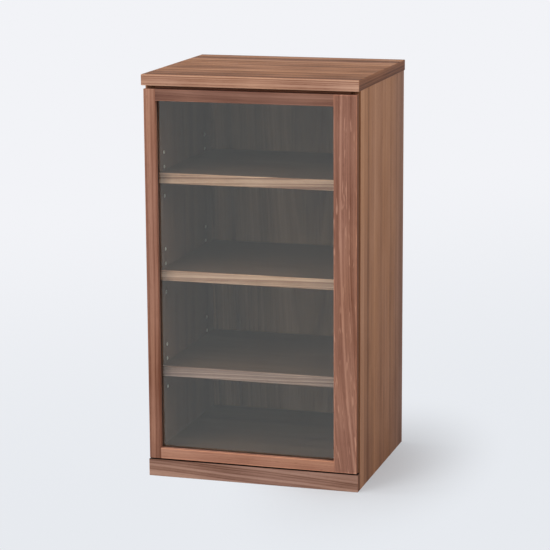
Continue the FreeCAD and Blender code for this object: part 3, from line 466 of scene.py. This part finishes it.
# The red front strips are painted brighter than the wood, as light caught in the gap under the top.
RED_PAINTED_LIGHT_COLOURS = (srgb(206, 150, 122), srgb(184, 126, 100), srgb(150, 98, 74))
RED_PAINTED_LIGHT_EDGE = ("Y", "ZYX", RED_PAINTED_LIGHT_COLOURS, {"Band Width": 0.012, "Wander": 0.003})
for panel, panel_seed in (("carcass_top", 11.3), ("bottom_panel", 12.9)):
    walnut_board(panel, "YZX", INSIDE_STAIN_AND_PAINTED_SHADE_COLOURS, seed=panel_seed, figure=INSIDE_FIGURE, wear_and_highlight_strength=0.2,
                 strips=(RED_PAINTED_LIGHT_EDGE,))


# The back panel: 6 mm walnut-veneered board, grain upright with broad bands, a little darker
# towards its top and right of its middle. It is let into grooves in the sides and screwed to the
# panels above and below.
walnut_board("back_panel", "XYZ", (srgb(177, 145, 118), srgb(143, 115, 92), srgb(108, 84, 67)),
             seed=14.4, wear_and_highlight_strength=0.1,
             figure={"Heart": (0.02, 0.20, 0.0), "Taper": 0.02, "Band Width": 0.026,
                     "Band Depth": 1.7, "Line Depth": 0.6, "Ring Depth": 0.15,
                     "Pore Depth": 0.2, "Downward Darkening": -0.25,
                     "Streak Place": 0.05, "Streak Width": 0.09, "Streak Depth": 0.3})


# The plinth board: 18 mm walnut across the front at the floor, in front of the sides, a little
# greyer and more scuffed than the door above it. Its top edge, and the unseen bottom one, are
# painted dark as shade, so that the gap under the door reads as a shadow, and its ends show darker
# end grain with painted shade over it.
PAINTED_SHADE_COLOURS = (srgb(52, 38, 32), srgb(42, 30, 25), srgb(32, 23, 19))
END_GRAIN_AND_PAINTED_SHADE_COLOURS = (srgb(126, 84, 62), srgb(108, 70, 50), srgb(84, 52, 37))
walnut_board("plinth_board", "ZYX", (srgb(184, 147, 128), srgb(159, 122, 104), srgb(118, 83, 67)),
             seed=17.9, wear_and_highlight_strength=0.2,
             strips=(("Z", "YZX", PAINTED_SHADE_COLOURS, INSIDE_FIGURE),
                     ("X", "YXZ", END_GRAIN_AND_PAINTED_SHADE_COLOURS, {"Band Width": 0.004, "Line Width": 0.002})),
             figure={"Heart": (0.06, 0.05, 0.0), "Band Width": 0.012, "Band Depth": 1.2,
                     "Line Width": 0.003, "Line Depth": 1.5, "Wander": 0.014,
                     "Taper": 0.03, "Cloud Depth": 0.8})


# The rear stretcher and the plinth blocks: plain planed softwood under the bottom panel, where
# nobody sees it. The stretcher is dowelled between the sides, and the blocks are glued behind the
# plinth board.
PINE_COLOURS = (srgb(214, 184, 140), srgb(196, 162, 116), srgb(160, 120, 78))
PINE_FIGURE = {"Heart": (0.02, 0.04, 0.0), "Ring Width": 0.005, "Ring Depth": 0.4}
walnut_board("rear_stretcher", "ZYX", PINE_COLOURS, seed=21.0, figure=PINE_FIGURE, wear_and_highlight_strength=0.2)
walnut_board("plinth_blocks", "YZX", PINE_COLOURS, seed=22.6, figure=PINE_FIGURE, wear_and_highlight_strength=0.0)


# The dowels: 8 mm fluted beech pins, 30 mm long. They are glued across the joints between the
# sides and the panels, the stretcher and the plinth board, and none of them shows.
BEECH_COLOURS = (srgb(222, 190, 150), srgb(206, 170, 128), srgb(172, 132, 92))
walnut_board("carcass_dowels", "YZX", BEECH_COLOURS, seed=24.2, wear_and_highlight_strength=0.0,
             figure={"Heart": (0.01, 0.02, 0.0), "Band Width": 0.010, "Ring Width": 0.003})


# The cam bolts and cam locks: steel bolts in the sides and die-cast drums in the panels, which
# draw each joint tight. The casting's grain is made here, for the other metals and the plastics.
cast_grain, coming, going = new_group(
    "cast grain",
    [("Point", "Vector"), ("Grain Size", "Float"), ("Seed", "Float")],
    [("Height", "Float"), ("Blotch", "Float")])
BLOTCH_CELLS = (160.0, 160.0, 160.0)
CAST_BUMP_STRENGTH = 0.5
seed_shift = join(cast_grain, coming["Seed"], coming["Seed"])
cast_spot = move(cast_grain, "ADD", coming["Point"], seed_shift)
grains = stretch(cast_grain, cast_spot, work_out(cast_grain, "DIVIDE", 1.0, coming["Grain Size"]))
grain_height = add(cast_grain, "ShaderNodeTexNoise", {
    "Vector": grains, "Scale": 1.0, "Detail": 3.0}).outputs[0]
cast_grain.links.new(grain_height, going["Height"])
cast_grain.links.new(noise(cast_grain, cast_spot, BLOTCH_CELLS, detail=3.0)[0], going["Blotch"])


def cast_or_turned(name, light, dark, roughness, metallic, grain_size=0.0004, depth=0.00008,
                   seed=0.0, swing=0.18):
    """Metal or plastic whose tone, gloss and surface vary a little, as made ones do. The grain's
    size and depth are in metres, and swing is how much rougher its dark blotches are."""
    material, tree = new_material(name)
    spot = add(tree, "ShaderNodeTexCoord").outputs["Object"]
    grain = place_group(tree, cast_grain, {"Point": spot, "Grain Size": grain_size, "Seed": seed})
    bump = add(tree, "ShaderNodeBump", {
        "Height": grain["Height"], "Strength": CAST_BUMP_STRENGTH, "Distance": depth})
    shader = add(tree, "ShaderNodeBsdfPrincipled", {
        "Base Color": blend_colours(tree, grain["Blotch"], light, dark),
        "Metallic": metallic,
        "Roughness": work_out(tree, "MULTIPLY_ADD", grain["Blotch"], swing, roughness),
        "Normal": bump.outputs[0]})
    finish_with(tree, shader.outputs[0])
    return material


cam_metal = cast_or_turned("cam_casting", srgb(196, 196, 194), srgb(168, 168, 166),
                           roughness=0.36, metallic=1.0)
coat_node("cam_bolts", cam_metal)
coat_node("cam_locks", cam_metal)


# The screws and the strike plate: zinc-plated steel, with the plate's faint yellow and blue. The
# screws hold the top board, the back panel and the hinges, and the plate is let into the left
# stile for the latch's magnet.
screw_metal = cast_or_turned("zinc_plate", srgb(200, 198, 186), srgb(176, 180, 186),
                             roughness=0.28, metallic=1.0, grain_size=0.0006, depth=0.00004,
                             seed=2.0)
for fastener in ("top_board_screws", "back_panel_screws", "hinge_arm_screws",
                 "hinge_housing_screws", "strike_plate"):
    coat_node(fastener, screw_metal)


# The shelf sockets and pins: bright nickel sleeves pressed into the sides, in two columns on each,
# four holes to a shelf, and turned steel pins in them under the shelves. The sleeves' flanges are
# rounded over, which the plain solids leave out.
nickel = cast_or_turned("nickel_sleeve", srgb(246, 242, 232), srgb(232, 228, 218),
                        roughness=0.42, metallic=0.6, grain_size=0.0008, depth=0.00003, seed=4.0,
                        swing=0.1)
coat_node("shelf_sockets", nickel)
MM = 0.001
# A sleeve's turned outline, as radius and height over the wall in millimetres, from the foot of
# its bore over the flange and back down its outside
SOCKET_OUTLINE = ((2.55, -10.0), (2.55, 0.32), (2.62, 0.50), (2.78, 0.60), (3.02, 0.60),
                  (3.28, 0.55), (3.46, 0.42), (3.57, 0.22), (3.60, 0.0), (3.00, 0.0),
                  (3.00, -10.0))
SOCKET_STEPS = 24
FLANGE_HEIGHT = max(over_wall for radius, over_wall in SOCKET_OUTLINE) * MM
FLANGE_SHARP_TURN = math.radians(50)


def spans(numbers, gap=0.003):
    """The lowest and highest of each bunch of numbers that lie closer together than the gap."""
    ordered = sorted(numbers)
    starts = [b for a, b in zip(ordered, ordered[1:]) if b - a > gap]
    ends = [a for a, b in zip(ordered, ordered[1:]) if b - a > gap]
    return list(zip([ordered[0]] + starts, ends + [ordered[-1]]))


def ring_of_points(mesh, middle, first_arm, second_arm, steps):
    """A ring of points round a middle, through the ends of two arms at right angles."""
    angles = [2 * math.pi * step / steps for step in range(steps)]
    return [mesh.verts.new(middle + first_arm * math.cos(angle) + second_arm * math.sin(angle))
            for angle in angles]


def skin(mesh, rings):
    """Joins each ring of points to the next with a band of smooth faces."""
    for ring, following in zip(rings, rings[1:]):
        for number in range(len(ring)):
            beside = (number + 1) % len(ring)
            face = mesh.faces.new(
                (ring[number], ring[beside], following[beside], following[number]))
            face.smooth = True


def put_in_scene(name, data):
    """Puts a mesh, a lamp or a camera into the scene as one object."""
    thing = bpy.data.objects.new(name, data)
    bpy.context.scene.collection.objects.link(thing)
    return thing


def make_piece(name, mesh, material, sharp_turn=math.pi):
    """A finished mesh as a piece of the scene, with its faces looking outwards. Edges that turn
    by the sharp turn or more stay hard, and without one none does."""
    bmesh.ops.recalc_face_normals(mesh, faces=mesh.faces)
    for edge in mesh.edges:
        edge.smooth = edge.calc_face_angle(0.0) < sharp_turn
    data = bpy.data.meshes.new(name)
    mesh.to_mesh(data)
    mesh.free()
    data.materials.append(material)
    return put_in_scene(name, data)


socket_points = [vertex.co for vertex in nodes["shelf_sockets"].data.vertices]
wall_face = min(abs(point.x) for point in socket_points) + FLANGE_HEIGHT
columns = [(low + high) / 2 for low, high in spans(point.y for point in socket_points)]
heights = [(low + high) / 2 for low, high in spans(point.z for point in socket_points)]
socket_mesh = bmesh.new()
for side in (-1, 1):
    for column in columns:
        for height in heights:
            rings = []
            for radius, over_wall in SOCKET_OUTLINE:
                middle = Vector((side * (wall_face - over_wall * MM), column, height))
                rings.append(ring_of_points(
                    socket_mesh, middle, Vector((0.0, radius * MM, 0.0)),
                    Vector((0.0, 0.0, radius * MM)), SOCKET_STEPS))
            skin(socket_mesh, rings + rings[:1])
sockets = make_piece("turned_sockets", socket_mesh, nickel, sharp_turn=FLANGE_SHARP_TURN)
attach(sockets, "cabinet")
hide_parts("shelf_sockets")
coat_node("shelf_pins", cast_or_turned(
    "turned_pin", srgb(206, 206, 204), srgb(186, 186, 184),
    roughness=0.25, metallic=1.0, grain_size=0.0005, depth=0.00004, seed=5.0))


# The shelves: 21 mm veneered boards that lie loose on their pins, dark partly from a stain and
# partly as painted shade, each with a strip of pale solid wood glued along its front edge, painted
# paler still as the light that falls on it through the glass. The lowest strip is the greyest.
PALE_LIPPING_AND_PAINTED_LIGHT = (srgb(208, 174, 149), srgb(180, 144, 121), srgb(136, 97, 76))
GREY_LIPPING_AND_PAINTED_LIGHT = (srgb(184, 158, 146), srgb(156, 131, 120), srgb(119, 91, 79))
LIPPING_SEED_STEP = 7
for shelf, shelf_seed, lipping_colours in (("lower", 31.4, GREY_LIPPING_AND_PAINTED_LIGHT),
                                           ("middle", 33.8, PALE_LIPPING_AND_PAINTED_LIGHT),
                                           ("upper", 36.1, PALE_LIPPING_AND_PAINTED_LIGHT)):
    walnut_board("shelf_" + shelf, "YZX", INSIDE_STAIN_AND_PAINTED_SHADE_COLOURS, seed=shelf_seed,
                 figure=INSIDE_FIGURE, wear_and_highlight_strength=0.1)
    walnut_board("shelf_lipping_" + shelf, "ZYX", lipping_colours,
                 seed=shelf_seed + LIPPING_SEED_STEP, wear_and_highlight_strength=0.6,
                 figure={"Heart": (0.2, 0.03, 0.0), "Band Width": 0.010, "Band Depth": 2.2,
                         "Line Width": 0.003, "Line Depth": 2.6, "Wander": 0.012,
                         "Lean": 0.03, "Cloud Depth": 0.9})


# The door frame: four pieces of solid walnut, 18 mm thick. The stiles run full height, the wide
# one at the hinge side, and the rails are tenoned between them. The wide stile's grain leans
# towards its foot, with pale flecks.
FRAME_COLOURS = (srgb(178, 132, 110), srgb(151, 107, 88), srgb(114, 72, 55))
WIDE_REACH = 0.0032
walnut_board("door_stile_left", "XYZ", FRAME_COLOURS, seed=41.2,
             figure={"Heart": (0.3, 0.06, 0.0), "Band Width": 0.016, "Line Width": 0.004,
                     "Wander": 0.008, "Cloud Depth": 0.8, "Downward Darkening": 0.42})
# Painted shade on the wide stile's outer side face; its pale edges are partly painted highlight.
walnut_board("door_stile_right", "XYZ", FRAME_COLOURS, seed=44.5, wear_and_highlight_strength=0.9, reach=WIDE_REACH,
             strips=(("X", "YXZ", END_GRAIN_AND_PAINTED_SHADE_COLOURS, {"Band Width": 0.006, "Line Width": 0.003}),),
             figure={"Heart": (-0.25, 0.05, 0.0), "Band Width": 0.016, "Line Width": 0.003,
                     "Line Depth": 0.5, "Band Depth": 0.75, "Wander": 0.012, "Lean": -0.04,
                     "Curve": 0.10, "Cloud Depth": 0.7, "Downward Darkening": -0.2, "Fleck Depth": 0.8,
                     "Sapwood Place": -0.007, "Sapwood Width": 0.0035, "Sapwood Depth": 0.5})
RAIL_FIGURE = {"Heart": (0.2, 0.04, 0.0), "Band Width": 0.015, "Band Depth": 1.0,
               "Line Width": 0.004, "Line Depth": 0.8, "Wander": 0.016, "Cloud Depth": 1.1}
walnut_board("door_rail_top", "ZYX", (srgb(160, 120, 104), srgb(133, 96, 82), srgb(102, 68, 58)),
             seed=47.3, figure=RAIL_FIGURE, wear_and_highlight_strength=0.5)
# The bottom rail's wide pale edge is partly painted highlight.
walnut_board("door_rail_bottom", "ZYX",
             (srgb(194, 146, 121), srgb(170, 121, 99), srgb(136, 90, 70)),
             seed=49.9, figure=RAIL_FIGURE, wear_and_highlight_strength=0.8, reach=WIDE_REACH)


# The glass: one 3 mm float pane with a faint grey tint, a little wavy and smudged by hands. Lamp
# light goes straight through it, so that the inside of the cabinet is lit.
GLASS_TINT = srgb(238, 240, 237)
SMUDGE_TINT = srgb(231, 234, 232)
WARM_GLINT = (1.0, 0.995, 0.95, 1.0)
GLASS_IOR = 1.56
SMEAR_CELLS = (9.0, 9.0, 6.0)
SMEAR_SPAN = (0.45, 0.80)
WAVE_CELLS = (14.0, 14.0, 5.0)
WAVE_BUMP = 0.0004
WAVE_BUMP_STRENGTH = 0.2
glass_material, glass_tree = new_material("grey_glass")
glass_spot = add(glass_tree, "ShaderNodeTexCoord").outputs["Object"]
smear = noise(glass_tree, glass_spot, SMEAR_CELLS, detail=4.0)[0]
smear = step_between(glass_tree, smear, *SMEAR_SPAN)
waves = add(glass_tree, "ShaderNodeBump", {
    "Height": noise(glass_tree, glass_spot, WAVE_CELLS)[0],
    "Strength": WAVE_BUMP_STRENGTH, "Distance": WAVE_BUMP})
pane = add(glass_tree, "ShaderNodeBsdfPrincipled", {
    "Base Color": blend_colours(glass_tree, smear, GLASS_TINT, SMUDGE_TINT),
    "Transmission Weight": 1.0, "IOR": GLASS_IOR, "Roughness": 0.0, "Specular Tint": WARM_GLINT,
    "Normal": waves.outputs[0]})
let_through = add(glass_tree, "ShaderNodeBsdfTransparent", {"Color": GLASS_TINT})
lamp_light = add(glass_tree, "ShaderNodeLightPath").outputs["Is Shadow Ray"]
lit_through = add(glass_tree, "ShaderNodeMixShader", {
    0: lamp_light, 1: pane.outputs[0], 2: let_through.outputs[0]})
finish_with(glass_tree, lit_through.outputs[0])
coat_node("door_glass", glass_material)


# The gasket and the beads: a dark strip that the glass beds in, showing as a thin line round it,
# and four walnut beads that hold the pane from behind.
coat_node("glazing_gasket", cast_or_turned(
    "gasket", srgb(48, 30, 22), srgb(38, 24, 18),
    roughness=0.6, metallic=0.0, grain_size=0.0003, depth=0.0001, seed=6.0))
walnut_board("glazing_beads", "XYZ", (srgb(140, 102, 84), srgb(122, 86, 69), srgb(92, 62, 48)),
             seed=52.7, wear_and_highlight_strength=0.0)


# The hinges: two concealed hinges at the wide stile. Steel arms are screwed to the side panel,
# and each turns on a pin in a satin nickel housing let into the stile.
hinge_metal = cast_or_turned("satin_nickel", srgb(204, 202, 198), srgb(188, 186, 182),
                             roughness=0.30, metallic=1.0, grain_size=0.0009, depth=0.00005,
                             seed=7.0)
for fitting in ("hinge_arms", "hinge_housings", "hinge_pins"):
    coat_node(fitting, hinge_metal)


# The push latch: a brown moulded sleeve in the front edge of the left side, a pale plunger with
# a magnet in its tip, and a coil spring behind it that pushes the door out. The spring is wound
# here, in the place of the plain tube in the solids.
coat_node("latch_housing", cast_or_turned(
    "latch_sleeve", srgb(108, 84, 70), srgb(96, 74, 62),
    roughness=0.5, metallic=0.0, grain_size=0.0005, seed=8.0))
coat_node("latch_plunger", cast_or_turned(
    "latch_plunger", srgb(206, 202, 196), srgb(194, 190, 184),
    roughness=0.45, metallic=0.0, grain_size=0.0005, seed=9.0))
coat_node("latch_magnet", cast_or_turned(
    "sintered_magnet", srgb(92, 92, 94), srgb(66, 66, 68),
    roughness=0.5, metallic=0.6, grain_size=0.0003, depth=0.0001, seed=10.0))
spring_wire = cast_or_turned("spring_wire", srgb(196, 196, 196), srgb(160, 160, 160),
                             roughness=0.25, metallic=1.0, grain_size=0.0006, depth=0.00003,
                             seed=11.0)
coat_node("latch_spring", spring_wire)
WIRE_RADIUS = 0.0004
SPRING_TURNS = 8
WIRE_SIDES = 10
STEPS_PER_TURN = 24
spring_low, spring_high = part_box("latch_spring")
spring_middle = (spring_low + spring_high) / 2
coil_radius = (spring_high.x - spring_low.x) / 2 - WIRE_RADIUS
coil_start = spring_low.y + WIRE_RADIUS
coil_length = spring_high.y - spring_low.y - 2 * WIRE_RADIUS
coil_steps = SPRING_TURNS * STEPS_PER_TURN
coil_mesh = bmesh.new()
rings = []
for step in range(coil_steps + 1):
    turned_by = 2 * math.pi * step / STEPS_PER_TURN
    outward = Vector((math.cos(turned_by), 0.0, math.sin(turned_by)))
    on_axis = Vector((spring_middle.x, coil_start + coil_length * step / coil_steps,
                      spring_middle.z))
    rings.append(ring_of_points(coil_mesh, on_axis + outward * coil_radius, outward * WIRE_RADIUS,
                                Vector((0.0, WIRE_RADIUS, 0.0)), WIRE_SIDES))
skin(coil_mesh, rings)
coil_mesh.faces.new(rings[0])
coil_mesh.faces.new(reversed(rings[-1]))
coil = make_piece("latch_coil", coil_mesh, spring_wire)
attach(coil, "cabinet")
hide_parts("latch_spring")
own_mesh(coil)


# The studio floor: wide, pale and plain. Near the cabinet it is painted and takes the shadow, and
# from there it fades into a glow of its own, which grows paler towards the back.
FLOOR_HALF = 30.0
FLOOR_COLOUR = (0.66, 0.675, 0.70, 1.0)
FLOOR_GLOW = srgb(231, 234, 239)
BACKDROP_COLOUR = srgb(242, 243, 247)
GLOW_ACROSS = (-1.0, 1.0, 0.0)
GLOW_SPAN = (-0.6, 4.3)
FADE_MIDDLE = (0.20, -0.02, 0.0)
FADE_STRETCH = (1.5, 0.7, 1.0)
FADE_SPAN = (0.02, 0.42)
NEAR_SHARE = 0.2
floor_mesh = bpy.data.meshes.new("studio_floor")
floor_mesh.from_pydata(
    [(-FLOOR_HALF, -FLOOR_HALF, 0.0), (FLOOR_HALF, -FLOOR_HALF, 0.0),
     (FLOOR_HALF, FLOOR_HALF, 0.0), (-FLOOR_HALF, FLOOR_HALF, 0.0)], [], [(0, 1, 2, 3)])
floor = put_in_scene("studio_floor", floor_mesh)


def seen_as_backdrop(tree):
    """1 where the camera sees a surface, also in a gloss or through glass, and 0 for its light."""
    ray = add(tree, "ShaderNodeLightPath").outputs
    seen = work_out(tree, "ADD", ray["Is Camera Ray"], ray["Is Glossy Ray"])
    return work_out(tree, "ADD", seen, ray["Is Transmission Ray"], clamp=True)


floor_material, floor_tree = new_material("studio_floor")
floor_spot = add(floor_tree, "ShaderNodeTexCoord").outputs["Object"]
from_middle = move(floor_tree, "SUBTRACT", floor_spot, FADE_MIDDLE)
from_middle = move(floor_tree, "MULTIPLY", from_middle, FADE_STRETCH)
fade = step_between(floor_tree, measure(floor_tree, "LENGTH", from_middle), *FADE_SPAN)
fade = work_out(floor_tree, "MULTIPLY_ADD", fade, 1.0 - NEAR_SHARE, NEAR_SHARE)
fade = work_out(floor_tree, "MULTIPLY", fade, seen_as_backdrop(floor_tree))
towards_back = measure(floor_tree, "DOT_PRODUCT", floor_spot, GLOW_ACROSS)
glow_colour = blend_colours(floor_tree, step_between(floor_tree, towards_back, *GLOW_SPAN),
                            FLOOR_GLOW, BACKDROP_COLOUR)
painted = add(floor_tree, "ShaderNodeBsdfDiffuse", {"Color": FLOOR_COLOUR})
glowing = add(floor_tree, "ShaderNodeEmission", {"Color": glow_colour})
floor_mix = add(floor_tree, "ShaderNodeMixShader", {
    0: fade, 1: painted.outputs[0], 2: glowing.outputs[0]})
finish_with(floor_tree, floor_mix.outputs[0])
floor_mesh.materials.append(floor_material)


# The backdrop and the lamps: an even light from all round, seen as a white backdrop, and four
# soft lamps: the key lamp at the front left, one at each side and a weak one above.
WHITE = (1.0, 1.0, 1.0, 1.0)
ROOM_LEVEL = 0.42
world = bpy.data.worlds.new("studio")
bpy.context.scene.world = world
world.use_nodes = True
world_tree = world.node_tree
world_tree.nodes.clear()
room = add(world_tree, "ShaderNodeBackground", {"Color": WHITE, "Strength": ROOM_LEVEL})
backdrop = add(world_tree, "ShaderNodeBackground", {"Color": BACKDROP_COLOUR, "Strength": 1.0})
world_mix = add(world_tree, "ShaderNodeMixShader", {
    0: seen_as_backdrop(world_tree), 1: room.outputs[0], 2: backdrop.outputs[0]})
finish_with(world_tree, world_mix.outputs[0], "ShaderNodeOutputWorld")

CABINET_MIDDLE = Vector((0.0, 0.0, 0.45))


def soft_lamp(name, place, size, power):
    """A square soft lamp at a place, turned to shine at the cabinet's middle."""
    data = bpy.data.lights.new(name, "AREA")
    data.shape = "SQUARE"
    data.size = size
    data.energy = power
    lamp = put_in_scene(name, data)
    lamp.location = place
    lamp.rotation_euler = (CABINET_MIDDLE - Vector(place)).to_track_quat("-Z", "Y").to_euler()


soft_lamp("key_lamp", (-1.9, -2.8, 2.4), size=2.0, power=56)
soft_lamp("left_lamp", (-3.3, -0.4, 2.4), size=2.2, power=54)
soft_lamp("top_lamp", (0.6, 0.0, 4.2), size=3.6, power=14)
soft_lamp("right_lamp", (3.0, -1.2, 2.6), size=2.0, power=54)


# The camera: a long lens at the front right, half a metre over the top board and looking down, as
# in the photograph. Its turn, tilt and roll are in radians.
CAMERA_PLACE = (1.269, -4.240, 1.325)
TURN_LEFT = 0.2920
LOOK_DOWN = 0.2069
ROLL = 0.0062
FOCAL_PIXELS = 2174
PHOTO_PIXELS = 550
SENSOR_WIDTH = 36
camera_data = bpy.data.cameras.new("photo_camera")
camera_data.sensor_width = SENSOR_WIDTH
camera_data.lens = SENSOR_WIDTH * FOCAL_PIXELS / PHOTO_PIXELS
camera = put_in_scene("photo_camera", camera_data)
ahead = Vector((-math.sin(TURN_LEFT) * math.cos(LOOK_DOWN),
                math.cos(TURN_LEFT) * math.cos(LOOK_DOWN), -math.sin(LOOK_DOWN)))
rightward = Vector((math.cos(TURN_LEFT), math.sin(TURN_LEFT), 0.0))
upward = rightward.cross(ahead)
rolled_right = math.cos(ROLL) * rightward - math.sin(ROLL) * upward
rolled_up = math.sin(ROLL) * rightward + math.cos(ROLL) * upward
turn = Matrix((rolled_right, rolled_up, -ahead)).transposed()
camera.matrix_world = Matrix.Translation(CAMERA_PLACE) @ turn.to_4x4()
bpy.context.scene.camera = camera
bpy.context.scene.view_settings.view_transform = "Standard"
